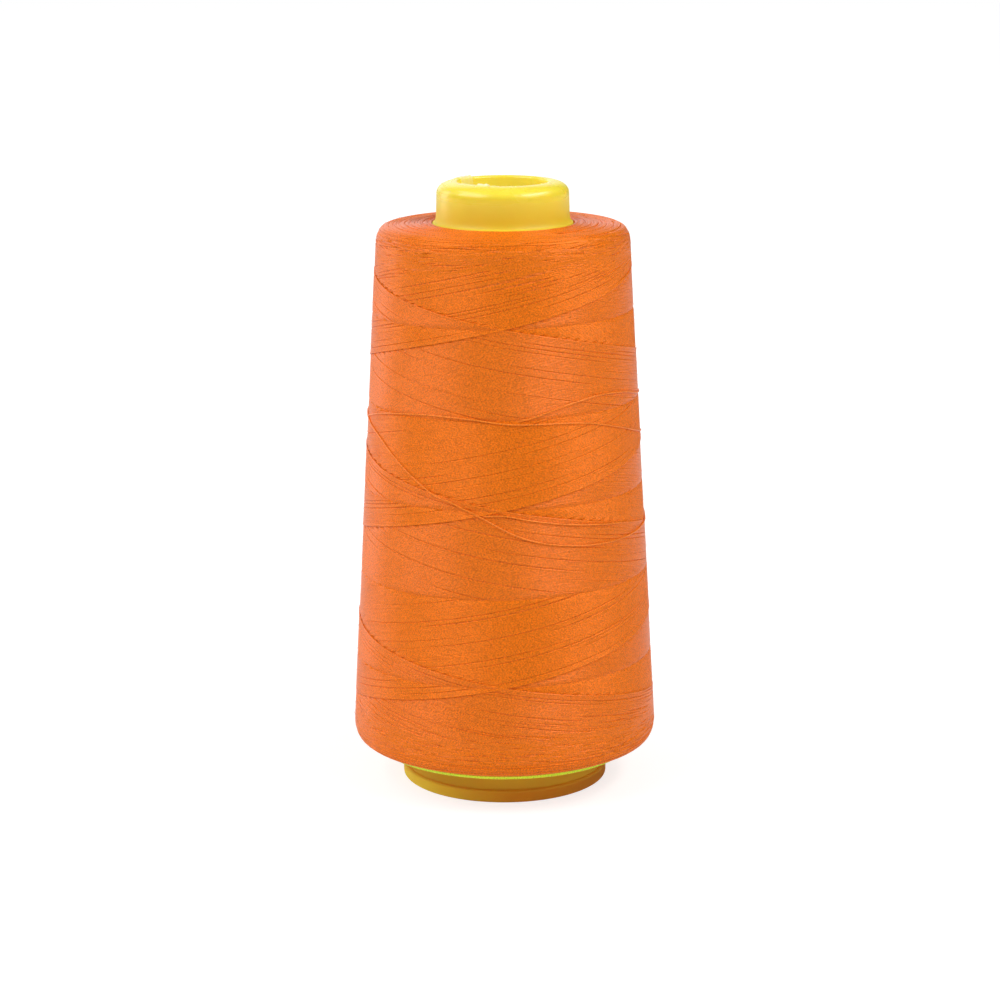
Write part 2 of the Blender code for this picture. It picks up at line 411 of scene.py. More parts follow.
class Winding:
    """The turns laid so far, and which of them lies on top at each place."""

    def __init__(self):
        self.top = np.full((MAP_ROWS, COLUMNS), -9.0)
        self.owner = np.full((MAP_ROWS, COLUMNS), -1, np.int32)
        self.turns = []

    def cells(self, columns, distance):
        rows = np.rint((distance - MAP_LOW) / ROW).astype(int)
        return rows[:, None] + COVER, (columns % COLUMNS)[:, None]

    def lay(self, kind, columns, distance, centre):
        cells = self.cells(columns, distance)
        crown = centre[:, None] + CROWN
        higher = crown > self.top[cells]
        self.top[cells] = np.where(higher, crown, self.top[cells])
        self.owner[cells] = np.where(higher, len(self.turns), self.owner[cells])
        self.turns.append((kind, columns, distance, centre))

    def visible(self, number):
        """Which of a turn's places still show somewhere across its width."""
        _, columns, distance, _ = self.turns[number]
        return (self.owner[self.cells(columns, distance)] == number).any(axis=1)

    def surface(self, distance, angle):
        """Height of what lies on top round each place."""
        place = np.mod(angle, math.tau) / COLUMN_ANGLE
        before = np.floor(place).astype(int)
        share = place - before
        rows = np.rint((distance - MAP_LOW) / ROW).astype(int)[:, None] + AROUND
        rows = np.clip(rows, 0, MAP_ROWS - 1)
        first = self.top[rows, (before % COLUMNS)[:, None]].max(axis=1)
        second = self.top[rows, ((before + 1) % COLUMNS)[:, None]].max(axis=1)
        return first * (1 - share) + second * share

    def packed(self, rows):
        """Lowest height near each place, once the gaps between turns are filled in."""
        reach = len(AROUND) // 2
        near = round(BODY_STEP / ROW)
        filled = windowed(windowed(self.top, reach, np.max), reach, np.min)
        lowest = windowed(filled, near, np.min)
        beside = np.minimum(np.roll(lowest, 1, axis=1), np.roll(lowest, -1, axis=1))
        lowest = np.minimum(lowest, beside)
        return lowest[np.rint((rows - MAP_LOW) / ROW).astype(int)]


def smooth(share):
    share = np.clip(share, 0, 1)
    return share * share * (3 - 2 * share)


def stroke_height(distance, angle, age, rising):
    """Centre of a stroke's thread: the newer of two turns that cross lies on the other."""
    other = age_at(distance, angle, not rising)
    surface = FRONT_STEP * (1 - age - other) + FRONT_RIDE * math.exp(-age / FRONT_WIDTH)
    buried = THREAD * smooth(0.5 - (other - age) / (2 * EMERGING))
    from_end = np.minimum(distance - TURN_LOW, TURN_TOP - distance)
    side = smooth((from_end - SIDE_FROM) / SIDE_OVER)
    return side * (surface - buried) - (1 - side) * END_DEPTH * age - THREAD / 2


def rounded_turn(distance, softness_low, softness_top):
    """Rounds a stroke's two ends, where the thread turns back."""
    below_top = TURN_TOP - distance
    top = TURN_TOP - softness_top / 2 * (1 + (below_top / softness_top) ** 2)
    distance = np.where(below_top < softness_top, top, distance)
    above_low = distance - TURN_LOW
    low = TURN_LOW + softness_low / 2 * (1 + (above_low / softness_low) ** 2)
    return np.where(above_low < softness_low, low, distance)


NEWER = 0.3  # age that parts the newer strokes from the older ones, each a piece of its own


def lay_stroke(winding, crowding, age, rising, softness_low, softness_top):
    """One stroke of the guide: three turns up or down the package."""
    gaps = RISING_GAPS if rising else FALLING_GAPS
    first = ((TURN_LOW - RISING_START) if rising else (FALLING_START - TURN_TOP)) / PITCH - age
    last = ((TURN_TOP - RISING_START) if rising else (FALLING_START - TURN_LOW)) / PITCH - age
    columns = np.arange(math.ceil(first * COLUMNS), math.floor(last * COLUMNS) + 1)
    angle = columns * COLUMN_ANGLE
    climb = PITCH * (age + angle / math.tau)
    distance = (RISING_START + climb) if rising else (FALLING_START - climb)
    distance = rounded_turn(distance, softness_low, softness_top)
    strength = np.sin(angle * 1.7 + age * 47) + 0.5 * np.sin(angle * 4.1 - age * 130)
    strength = smooth(0.55 + 0.9 * strength)
    side = 1 if rising else -1
    distance = distance + side * parted(age, gaps, strength)
    distance += LAY_LEAN * np.sin(angle) + crowding.at(age, angle)
    height = stroke_height(distance, angle, age, rising)
    kind = ("newer_" if age < NEWER else "older_") + ("rising" if rising else "falling")
    winding.lay(kind, columns, distance, height)


END_SPREAD = 1.03  # the end turns lie this much wider apart than the strokes
END_OVERLAP = 4  # columns by which an end turn runs on past once round
END_STRAY = 0.2  # how far it may stray out of its own zone
END_UNEVEN = 0.02
END_LAYER = 0.08  # how far the lower layer lies under the upper one
END_UNDER = 0.16  # how far they go down under the strokes
END_SINK = 0.03  # how much lower an end turn finishes than it starts
END_TURNS = (  # kind, from, to, lean, and where the strokes start to cover them and fully do
    ("under", SIDE_START + 0.2, TURN_LOW + 5.0, 0.5, 9.5, 12.5),
    ("top", TURN_TOP - 6.5, SIDE_END - 0.2, 0.8, 106.5, 103.5),
)
SOFTNESS = (3.0, 12.0)  # least and most height over which a stroke turns back
OLDEST_SOFTNESS = 4.5


def lay_end_turns(winding, random, kind, start, end, lean, covered_from, covered_to):
    """Nearly level turns at one end of the package, in two layers."""
    places = np.arange(start, end, SPACING * END_SPREAD)
    for layer in range(2):
        for place in random.permutation(places + layer * SPACING / 2):
            first = random.integers(0, COLUMNS)
            columns = np.arange(first, first + COLUMNS + END_OVERLAP)
            angle = columns * COLUMN_ANGLE
            swing = lean * random.uniform(0.2, 1.0)
            distance = place + swing * np.sin(angle + random.uniform(0, math.tau))
            run = (columns - first) / COLUMNS
            drift = SPACING * (run - 0.5)
            distance = np.clip(distance + drift, start - END_STRAY, end + END_STRAY)
            covered = smooth((distance - covered_from) / (covered_to - covered_from))
            height = -THREAD / 2 - random.uniform(0, END_UNEVEN) - END_LAYER * (1 - layer)
            winding.lay(kind, columns, distance, height - END_UNDER * covered - END_SINK * run)


def wind_package():
    """Both ends first, and then stroke upon stroke from the oldest to the newest."""
    random = np.random.default_rng(11)
    winding = Winding()
    for kind, *layout in END_TURNS:
        lay_end_turns(winding, random, kind, *layout)
    crowding = {True: Crowding(3), False: Crowding(4)}
    softness_top = OLDEST_SOFTNESS
    for stroke in reversed(range(STROKES)):
        age = stroke / STROKES
        softness_low = random.uniform(*SOFTNESS)
        lay_stroke(winding, crowding[True], age, True, softness_low, softness_top)
        softness_top = random.uniform(*SOFTNESS)
        lay_stroke(winding, crowding[False], age, False, softness_low, softness_top)
    return winding


def shown_runs(winding, kind):
    """The lengths of one kind of turn that show, each a little longer at its ends."""
    for number, (laid, columns, distance, centre) in enumerate(winding.turns):
        if laid != kind:
            continue
        shows = winding.visible(number)
        wider = shows.copy()
        wider[1:] |= shows[:-1]
        wider[:-1] |= shows[1:]
        edges = np.flatnonzero(np.diff(np.concatenate([[0], wider.astype(int), [0]])))
        for start, end in zip(edges[::2], edges[1::2]):
            if end - start > 1:
                part = slice(start, end)
                angle = columns[part] * COLUMN_ANGLE
                yield *on_package(distance[part], angle, centre[part]), number


# ---------------------------------------------------------------- turns that lie loose

# Places along each loose turn, as (degrees round from the front, height)
SLIPPED_TURN = (
    (-150, 65.5), (-118, 68.7), (-84, 71.0), (-57, 73.6), (-30, 74.8), (-14, 74.6), (2, 73.8),
    (25, 73.5), (38, 72.9), (56, 71.0), (79, 68.3), (115, 66.3), (170, 66.9), (230, 70.0),
    (275, 71.3), (285, 70.3), (298, 68.6), (310, 65.7), (323, 62.3), (332, 60.1), (338, 59.4),
    (343, 58.4), (350, 57.0), (356, 55.5), (363, 53.8), (371, 52.4), (383, 51.2), (396, 50.5),
    (419, 50.3), (442, 50.9), (480, 54.0), (530, 60.5), (560, 63.5),
)
FORKED_TURN = (
    (2, 73.9), (13, 75.0), (23, 76.3), (34, 77.3), (42, 77.7), (60, 77.2), (79, 75.6),
    (110, 74.9), (150, 77.5), (190, 83.0),
)
SAGGING_TURN = ((-11, 56.9), (0, 57.1), (10, 56.2), (22, 55.2), (39, 54.1), (58, 53.0))
LOOSE_STEP = math.radians(2.5)
LOOSE_LIFT = THREAD * 0.22
LOOSE_WIDTH = 0.29
TUCKED = 0.4  # how deep a loose turn's ends go under the others
TUCK_STEPS = 3


def through(places, at):
    """A smooth curve through (angle, height) places, read at each angle."""
    x, y = np.array(places, float).T
    slope = np.gradient(y, x)
    left = np.clip(np.searchsorted(x, at) - 1, 0, len(x) - 2)
    step = x[left + 1] - x[left]
    share = (at - x[left]) / step
    rest = 1 - share
    from_left = y[left] * (1 + 2 * share) + step * slope[left] * share
    from_right = y[left + 1] * (1 + 2 * rest) - step * slope[left + 1] * rest
    return from_left * rest**2 + from_right * share**2


def loose_run(winding, places, number):
    """A loose turn on top of the others, with both its ends tucked in."""
    start, end = math.radians(places[0][0]), math.radians(places[-1][0])
    angle = np.linspace(start, end, round((end - start) / LOOSE_STEP) + 1)
    distance = through(places, np.degrees(angle))
    lift = winding.surface(distance, angle)
    lift = np.maximum(lift, (np.roll(lift, 1) + np.roll(lift, -1)) / 2) + LOOSE_LIFT
    from_end = np.minimum(angle - start, end - angle) / LOOSE_STEP
    lift -= TUCKED * (1 - smooth(from_end / TUCK_STEPS))
    return *on_package(distance, angle, lift), number


LIME_TURNS = (  # distance past the underside's outer edge, lift
    (0.08, 0.06),
    (0.34, 0.11),
    (0.60, 0.13),
    (0.84, 0.08),
    (0.24, 0.28),
    (0.54, 0.30),
)
LIME_WIDTH = 0.31
LIME_TILT = 0.8  # how much farther under they run at the sides than at the front
LIME_SWAY = 0.05
LIME_RIPPLE = 0.02


def lime_runs():
    """A few turns of lime thread that close the package's underside."""
    angle = math.pi + np.arange(COLUMNS + 2) * COLUMN_ANGLE
    for number, (past, lift) in enumerate(LIME_TURNS):
        sway = LIME_SWAY * np.sin(angle + number * 1.9) + LIME_RIPPLE * np.sin(3 * angle + number)
        sway += SPACING * (angle / math.tau - 1) - LIME_TILT * (1 - np.cos(angle))
        distance = side_distance[1] + past + sway
        lift = lift + LIME_RIPPLE * np.cos(2 * angle + number)
        yield *on_package(distance, angle, lift), number


FIBRES = 1300
FIBRE_WIDTH = 0.035
FIBRE_LENGTH = (0.4, 1.5)
FIBRE_BEND = (1.2, 2.8)  # radians of an arch that a fibre goes through
FIBRE_ARCH = (0.05, 0.35)  # how high it stands off the turns
FIBRE_ROOT = 0.02


def fibre_runs(winding):
    """Short stray fibres that stand off the turns."""
    random = np.random.default_rng(23)
    step = np.linspace(0, 1, 5)
    for number in range(FIBRES):
        start = random.uniform(UNDERSIDE_Z + 1, TOP_Z + 5)
        radius = side_at(start)[0]
        heading = random.normal(0, 0.5) + random.uniform(-0.9, 0.9) * step
        length = random.uniform(*FIBRE_LENGTH) * step
        angle = random.uniform(0, math.tau) + length * np.cos(heading) / radius
        distance = start + length * np.sin(heading)
        arch = np.sin(step * random.uniform(*FIBRE_BEND)) * random.uniform(*FIBRE_ARCH)
        lift = winding.surface(distance, angle) + arch - FIBRE_ROOT
        yield *on_package(distance, angle, lift), number


# ---------------------------------------------------------------- turns as meshes


CELL_SIDES = 0.86  # share of a cell's height that the sides of a short length take
CELL_MARGIN = 0.02
CAP_PLACE = (0.5, 0.94)  # middle of a closed end in its cell, above the sides
CAP_SIZE = (0.4, 0.03)


def run_cells(mesh, lengths, sides):
    """A map for baking: each short length of a run has a cell of its own, row upon row."""
    count = int(lengths.sum())
    in_row = math.ceil(math.sqrt(count))
    cell = np.arange(count)
    left, low = (cell % in_row)[:, None, None], (cell // in_row)[:, None, None]
    across = (np.arange(sides)[None, :, None] + np.array([0, 1, 1, 0])) * CELL_SIDES / sides
    u = left + np.array([0, 0, 1, 1]) + np.zeros_like(across)
    v = low + across + CELL_MARGIN
    last = np.cumsum(lengths) - 1
    ends = np.stack([last - lengths + 1, last], axis=1).reshape(-1, 1)
    corner = np.arange(sides) * math.tau / sides
    cap_u = ends % in_row + CAP_PLACE[0] + CAP_SIZE[0] * np.cos(corner)
    cap_v = ends // in_row + CAP_PLACE[1] + CAP_SIZE[1] * np.sin(corner)
    u = np.concatenate([u.ravel(), cap_u.ravel()])
    v = np.concatenate([v.ravel(), cap_v.ravel()])
    places = np.stack([u, v], axis=-1) / in_row
    bake = mesh.uv_layers.new(name="OFBake")
    bake.uv.foreach_set("vector", places.astype(np.float32).ravel())


def tubes(name, runs, sides, width, height):
    """One mesh of closed tubes along runs of thread, with a lengthwise map and a tint."""
    corner = np.arange(sides) * math.tau / sides
    side = np.arange(sides)
    points, quads, caps, along, ends, tint, lengths = ([] for _ in range(7))
    first = 0
    for centre, outward, number in runs:
        tangent = np.gradient(centre, axis=0)
        across = np.cross(tangent, outward)
        across /= np.linalg.norm(across, axis=1)[:, None]
        outward = np.cross(across, tangent)
        outward /= np.linalg.norm(outward, axis=1)[:, None]
        up = np.cos(corner)[None, :, None] * outward[:, None] * height / 2
        beside = np.sin(corner)[None, :, None] * across[:, None] * width / 2
        points.append((centre[:, None] + up + beside).reshape(-1, 3))
        count = len(centre)
        rings = first + np.arange(count)[:, None] * sides
        low, beyond = rings[:-1] + side, rings[:-1] + (side + 1) % sides
        quads.append(np.stack([low, beyond, beyond + sides, low + sides], axis=-1).reshape(-1, 4))
        caps += [rings[0] + side[::-1], rings[-1] + side]
        step = np.linalg.norm(np.diff(centre, axis=0), axis=1)
        length = np.concatenate([[0.0], np.cumsum(step)]) + TINTS[number % len(TINTS)] * PHASES
        between = np.stack([length[:-1], length[:-1], length[1:], length[1:]], axis=-1)
        along.append(between.repeat(sides, axis=0))
        ends += [length[0], length[-1]]
        tint.append(np.full(count * sides, TINTS[number % len(TINTS)]))
        lengths.append(count - 1)
        first += count * sides
    mesh = bpy.data.meshes.new(name)
    faces = np.concatenate(quads).tolist() + np.array(caps).tolist()
    mesh.from_pydata(np.concatenate(points) * MM, [], faces)
    around = side[:, None] + np.array([0, 1, 1, 0])
    around = np.tile(around, (sum(lengths), 1)) / sides
    lengthwise = np.concatenate([np.concatenate(along).ravel(), np.repeat(ends, sides)])
    round_it = np.concatenate([around.ravel(), np.zeros(len(ends) * sides)])
    places = np.stack([lengthwise, round_it], axis=-1)
    run_map = mesh.uv_layers.new(name="thread_run")
    run_map.uv.foreach_set("vector", places.astype(np.float32).ravel())
    run_cells(mesh, np.array(lengths), sides)
    shade = mesh.attributes.new("turn_tint", "FLOAT", "POINT")
    shade.data.foreach_set("value", np.concatenate(tint).astype(np.float32))
    mesh.shade_smooth()
    piece = bpy.data.objects.new(name, mesh)
    bpy.context.scene.collection.objects.link(piece)
    return piece


TINTS = np.random.default_rng(5).random(97)  # shades that the turns take one after another
PHASES = 400.0  # each turn's pattern starts anywhere in this length
BODY_STEP = 0.5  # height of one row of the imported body
BODY_DEPTH = 0.13  # how far it lies under the crowns of the turns on it


def make_package_body(winding):
    """What shows between turns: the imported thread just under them."""
    rows = np.linspace(SIDE_START, SIDE_END, round((SIDE_END - SIDE_START) / BODY_STEP) + 1)
    section, outward = on_package(rows, np.zeros_like(rows), np.full_like(rows, -THREAD))
    outline = np.stack([-section[:, 1], section[:, 2]], axis=-1)
    body = turned("package_body", [tuple(point) for point in outline.tolist()], COLUMNS)
    places = np.array([vertex.co for vertex in body.data.vertices]) / MM
    radius = np.hypot(places[:, 0], places[:, 1])
    away = (radius[:, None] - outline[:, 0]) ** 2 + (places[:, 2:] - outline[:, 1]) ** 2
    row = away.argmin(axis=1)
    angle = np.arctan2(places[:, 0], -places[:, 1])
    column = np.rint(angle / COLUMN_ANGLE).astype(int) % COLUMNS
    lift = np.maximum(winding.packed(rows)[row, column] - BODY_DEPTH, -THREAD * 2)
    settled, outward = on_package(rows[row], angle, lift)
    inner = (row < 2) | (row > len(rows) - 3)
    settled[inner] = places[inner]
    body.data.vertices.foreach_set("co", (settled * MM).astype(np.float32).ravel())
    body.data.update()
    return body


# ---------------------------------------------------------------- materials


def new_material(name, base, roughness, **constants):
    """A material whose Principled shader has its constant values on its own sockets."""
    made = bpy.data.materials.new(name)
    made.use_nodes = True
    shader = made.node_tree.nodes["Principled BSDF"]
    shader.inputs["Base Color"].default_value = (*base, 1)
    shader.inputs["Roughness"].default_value = roughness
    for socket, value in constants.items():
        shader.inputs[socket.replace("_", " ")].default_value = value
    return made, made.node_tree, shader


def feed(tree, socket, value):
    """Links a socket to another, or sets it to a plain value."""
    if isinstance(value, bpy.types.NodeSocket):
        tree.links.new(value, socket)
    elif value is not None:
        socket.default_value = value


def sum_of(tree, operation, first, second=None, third=None):
    """The result of one Math node."""
    made = tree.nodes.new("ShaderNodeMath")
    made.operation = operation
    for socket, value in zip(made.inputs, (first, second, third)):
        feed(tree, socket, value)
    return made.outputs[0]


def weighed(tree, base, *terms):
    """A base value, with each other value added by its weight."""
    for value, weight in terms:
        base = sum_of(tree, "MULTIPLY_ADD", value, weight, base)
    return base


def noise(tree, place, scale, detail, roughness=0.5):
    made = tree.nodes.new("ShaderNodeTexNoise")
    feed(tree, made.inputs["Vector"], place)
    feed(tree, made.inputs["Scale"], scale)
    feed(tree, made.inputs["Detail"], detail)
    feed(tree, made.inputs["Roughness"], roughness)
    return made.outputs[0]


def ranged(tree, value, low, high, to_low, to_high):
    """A value mapped from one range to another, and held at its ends."""
    made = tree.nodes.new("ShaderNodeMapRange")
    for socket, given in zip(made.inputs, (value, low, high, to_low, to_high)):
        feed(tree, socket, given)
    return made.outputs[0]


def parts_of(tree, vector):
    """The X, Y and Z of a vector."""
    made = tree.nodes.new("ShaderNodeSeparateXYZ")
    feed(tree, made.inputs[0], vector)
    return made.outputs


def stretched(tree, place, scale):
    """Coordinates scaled differently along each axis."""
    made = tree.nodes.new("ShaderNodeVectorMath")
    made.operation = "MULTIPLY"
    feed(tree, made.inputs[0], place)
    feed(tree, made.inputs[1], scale)
    return made.outputs[0]


def blended(tree, share, first, second, blend="MIX"):
    """Two colours mixed."""
    made = tree.nodes.new("ShaderNodeMix")
    made.data_type = "RGBA"
    made.blend_type = blend
    feed(tree, made.inputs[0], share)
    feed(tree, made.inputs[6], first)
    feed(tree, made.inputs[7], second)
    return made.outputs[2]


def raised(tree, height, distance, strength):
    """A normal bent by a height, whose full size is distance in metres."""
    made = tree.nodes.new("ShaderNodeBump")
    feed(tree, made.inputs["Height"], height)
    feed(tree, made.inputs["Distance"], distance)
    feed(tree, made.inputs["Strength"], strength)
    return made.outputs[0]


def effect_group(name, inputs, outputs):
    """An empty node group with named sockets."""
    group = bpy.data.node_groups.new(name, "ShaderNodeTree")
    for socket, kind in inputs:
        group.interface.new_socket(socket, in_out="INPUT", socket_type=kind)
    for socket, kind in outputs:
        group.interface.new_socket(socket, in_out="OUTPUT", socket_type=kind)
    given = group.nodes.new("NodeGroupInput").outputs
    result = group.nodes.new("NodeGroupOutput").inputs
    return group, given, result


PLIES = 3
PLY_TWIST = 1.8  # length over which one ply goes once round the thread
FIBRE_SCALE = (4.0, 9.0, 1.0)  # of a pattern along the run and round it
FLECK_SCALE = (3.4, 1.3, 1.0)
FLECK_RANGE = (0.36, 0.64)
SLUB_SCALE = (0.22, 0.0, 1.0)  # thick and thin places, the same all round
DARKEST_SHADE = 0.505


def spun_thread_group():
    """Plies, fibres, thick places and tone along a run of thread, with painted shade in the
    grooves between plies.
    """
    inputs = (
        ("Run", "NodeSocketVector"),
        ("Tint", "NodeSocketFloat"),
        ("Colour", "NodeSocketColor"),
    )
    outputs = (("Colour", "NodeSocketColor"), ("Height", "NodeSocketFloat"))
    group, given, result = effect_group("spun_thread", inputs, outputs)
    along, around = parts_of(group, given["Run"])[:2]
    phase = sum_of(group, "MULTIPLY_ADD", along, 1 / PLY_TWIST, around)
    wave = sum_of(group, "SINE", sum_of(group, "MULTIPLY", phase, math.pi * PLIES))
    ply = sum_of(group, "ABSOLUTE", wave)
    fibre = noise(group, stretched(group, given["Run"], FIBRE_SCALE), 1.0, 3.0, 0.7)
    fleck = noise(group, stretched(group, given["Run"], FLECK_SCALE), 1.0, 1.0)
    fleck = ranged(group, fleck, *FLECK_RANGE, 0.0, 1.0)
    slub = noise(group, stretched(group, given["Run"], SLUB_SCALE), 1.0, 2.0)
    height = sum_of(group, "MULTIPLY", ply, 0.3)
    height = weighed(group, height, (fibre, 0.3), (fleck, 0.12))
    # the ply term darkens the grooves between plies a little: painted shade
    shades = ((given["Tint"], 0.03), (slub, 0.06), (fibre, 0.30), (fleck, 0.50), (ply, 0.04))
    shade = weighed(group, DARKEST_SHADE, *shades)
    scaled = group.nodes.new("ShaderNodeVectorMath")
    scaled.operation = "SCALE"
    feed(group, scaled.inputs[0], given["Colour"])
    feed(group, scaled.inputs["Scale"], shade)
    feed(group, result["Colour"], scaled.outputs[0])
    feed(group, result["Height"], height)
    return group


THREAD_ROUGHNESS = 0.32
THREAD_RELIEF = (0.05 * MM, 0.6)  # height in metres, and strength
PACKED_ROUGHNESS = 0.6
PACKED_RELIEF = (0.1 * MM, 0.8)
PACKED_SCALE = (900, 900, 900)
STREAK_SCALE = (300, 300, 3600)


def thread_material(name, base, spun, **constants):
    """Spun thread, with its pattern along the piece's own runs."""
    made, tree, shader = new_material(name, base, THREAD_ROUGHNESS, **constants)
    run = tree.nodes.new("ShaderNodeUVMap")
    run.uv_map = "thread_run"
    tint = tree.nodes.new("ShaderNodeAttribute")
    tint.attribute_name = "turn_tint"
    finish = tree.nodes.new("ShaderNodeGroup")
    finish.node_tree = spun
    feed(tree, finish.inputs["Run"], run.outputs[0])
    feed(tree, finish.inputs["Tint"], tint.outputs["Fac"])
    feed(tree, finish.inputs["Colour"], (*base, 1))
    feed(tree, shader.inputs["Base Color"], finish.outputs["Colour"])
    feed(tree, shader.inputs["Normal"], raised(tree, finish.outputs["Height"], *THREAD_RELIEF))
    return made


def packed_material(name, base, spun):
    """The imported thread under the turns, with level streaks."""
    made, tree, shader = new_material(name, base, PACKED_ROUGHNESS)
    place = tree.nodes.new("ShaderNodeTexCoord").outputs["Object"]
    streaks = noise(tree, stretched(tree, place, STREAK_SCALE), 1.0, 2.0)
    finish = tree.nodes.new("ShaderNodeGroup")
    finish.node_tree = spun
    feed(tree, finish.inputs["Run"], stretched(tree, place, PACKED_SCALE))
    feed(tree, finish.inputs["Tint"], streaks)
    feed(tree, finish.inputs["Colour"], (*base, 1))
    feed(tree, shader.inputs["Base Color"], finish.outputs["Colour"])
    feed(tree, shader.inputs["Normal"], raised(tree, streaks, *PACKED_RELIEF))
    return made


YELLOW = (0.97, 0.79, 0.058)
DEEP_YELLOW = (0.94, 0.745, 0.043)
MOUTH_GLOW_YELLOW = (0.95, 0.76, 0.12)  # painted glow inside the mouth: emission standing in for light there
SHADED_BEAD_GOLD = (0.83, 0.615, 0.015)
# painted shade on the neck under the package's overhang
SHADED_NECK_GOLD = (0.87, 0.59, 0.042)
# painted light and shade on the rim: lit olive on its left, amber and deeper amber in shade to
# its right
FOOT_LIT_OLIVE = (0.95, 0.67, 0.045)
FOOT_SHADE_AMBER = (0.83, 0.335, 0.013)
FOOT_DEEP_SHADE_AMBER = (0.58, 0.21, 0.008)
WHITENED_YELLOW = (0.98, 0.93, 0.55)
BEAD_SHADE_TOP = 112.0  # below this the nose grows darker towards gold at its bead: painted shade
FOOT_SHADE_TOP = (RIM_HEIGHT - 0.5, RIM_HEIGHT + 0.1)  # the rim's painted light and shade fades into the neck's painted shade
FOOT_LIT_SIDE = (-15.0, 2.0)  # over this width the rim turns from painted light on its left to painted shade
FOOT_DEEP_SHADE_SIDE = (2.0, 19.0)  # and over this one to a deeper painted shade on its right
CLOUD_SCALE = 110.0
GRAIN_SCALE = 1800.0
RUBBING_SCALE = (120, 120, 5200)
RUBBING_FROM = 0.6  # only the pattern's peaks show as rubbed lines
RUBBING_GAIN = 9.0
PLASTIC_GLOSS = 0.2  # roughness where the plastic is clear and clean
PLASTIC_RELIEF = (0.05 * MM, 0.5)  # height in metres, and strength


def plastic_material():
    """Moulded yellow plastic: faint clouding, rubbed lines, a whitened scar, painted shade at the
    bead and neck, painted light and shade on the rim, and a painted glow in the mouth.
    """
    shine = {"Specular_IOR_Level": 0.6, "Subsurface_Weight": 0.25}
    made, tree, shader = new_material("moulded_yellow", YELLOW, 0.25, **shine)
    shader.inputs["Subsurface Radius"].default_value = (1.0, 0.6, 0.1)
    shader.inputs["Subsurface Scale"].default_value = 1.5 * MM
    # a painted glow inside the mouth: emission standing in for light, not a lamp
    shader.inputs["Emission Strength"].default_value = 0.14
    through = tree.nodes.new("ShaderNodeAttribute")
    through.attribute_name = "painted_mouth_glow"
    glow = blended(tree, through.outputs["Fac"], (0, 0, 0, 1), (*MOUTH_GLOW_YELLOW, 1))
    feed(tree, shader.inputs["Emission Color"], glow)
    place = tree.nodes.new("ShaderNodeTexCoord").outputs["Object"]
    cloud = noise(tree, place, CLOUD_SCALE, 3.0)
    grain = noise(tree, place, GRAIN_SCALE, 2.0)
    rubbing = noise(tree, stretched(tree, place, RUBBING_SCALE), 1.0, 4.0, 0.6)
    rubbing = sum_of(tree, "SUBTRACT", rubbing, RUBBING_FROM)
    rubbed = sum_of(tree, "MULTIPLY", rubbing, RUBBING_GAIN)
    rubbed = sum_of(tree, "MAXIMUM", rubbed, 0)
    rubbed = sum_of(tree, "MULTIPLY", sum_of(tree, "MINIMUM", rubbed, 1), cloud)
    scar = tree.nodes.new("ShaderNodeAttribute")
    scar.attribute_name = "whitened"
    beside, height = parts_of(tree, place)[0], parts_of(tree, place)[2]
    colour = blended(tree, cloud, (*DEEP_YELLOW, 1), (*YELLOW, 1))
    # painted shade: the nose darkens towards gold near its bead
    near_bead = ranged(tree, height, BEAD_TOP * MM, BEAD_SHADE_TOP * MM, 1.0, 0.0)
    colour = blended(tree, near_bead, colour, (*SHADED_BEAD_GOLD, 1))
    # painted shade: the neck darkens to gold under the package
    near_neck = ranged(tree, height, NECK_TOP * MM, NECK_TOP * 2 * MM, 1.0, 0.0)
    colour = blended(tree, near_neck, colour, (*SHADED_NECK_GOLD, 1))
    # painted light and shade on the rim: lighter olive on the left, darker amber towards the
    # right
    to_foot_shade = ranged(tree, beside, FOOT_LIT_SIDE[0] * MM, FOOT_LIT_SIDE[1] * MM, 0.0, 1.0)
    to_deep_foot_shade = ranged(tree, beside, FOOT_DEEP_SHADE_SIDE[0] * MM, FOOT_DEEP_SHADE_SIDE[1] * MM, 0.0, 1.0)
    foot_light_and_shade = blended(tree, to_foot_shade, (*FOOT_LIT_OLIVE, 1), (*FOOT_SHADE_AMBER, 1))
    foot_light_and_shade = blended(tree, to_deep_foot_shade, foot_light_and_shade, (*FOOT_DEEP_SHADE_AMBER, 1))
    near_rim = ranged(tree, height, FOOT_SHADE_TOP[0] * MM, FOOT_SHADE_TOP[1] * MM, 1.0, 0.0)
    colour = blended(tree, near_rim, colour, foot_light_and_shade)
    colour = blended(tree, scar.outputs["Fac"], colour, (*WHITENED_YELLOW, 1))
    feed(tree, shader.inputs["Base Color"], colour)
    duller = ((cloud, 0.12), (rubbed, 0.25), (near_neck, 0.4), (near_bead, 0.3))
    gloss = weighed(tree, PLASTIC_GLOSS, *duller, (scar.outputs["Fac"], 0.3))
    feed(tree, shader.inputs["Roughness"], gloss)
    relief = sum_of(tree, "MULTIPLY_ADD", grain, 0.25, sum_of(tree, "MULTIPLY", rubbed, -0.3))
    relief = sum_of(tree, "ADD", relief, cloud)
    feed(tree, shader.inputs["Normal"], raised(tree, relief, *PLASTIC_RELIEF))
    return made


# ---------------------------------------------------------------- camera, lights and floor

CAMERA_PLACE = (-0.73, -501.3, 173.9)
CAMERA_DOWN = 13.468
CAMERA_ROLL = -0.22
FOCAL_PIXELS = 2710
PHOTO_SIDE = 1000
SENSOR = 36.0


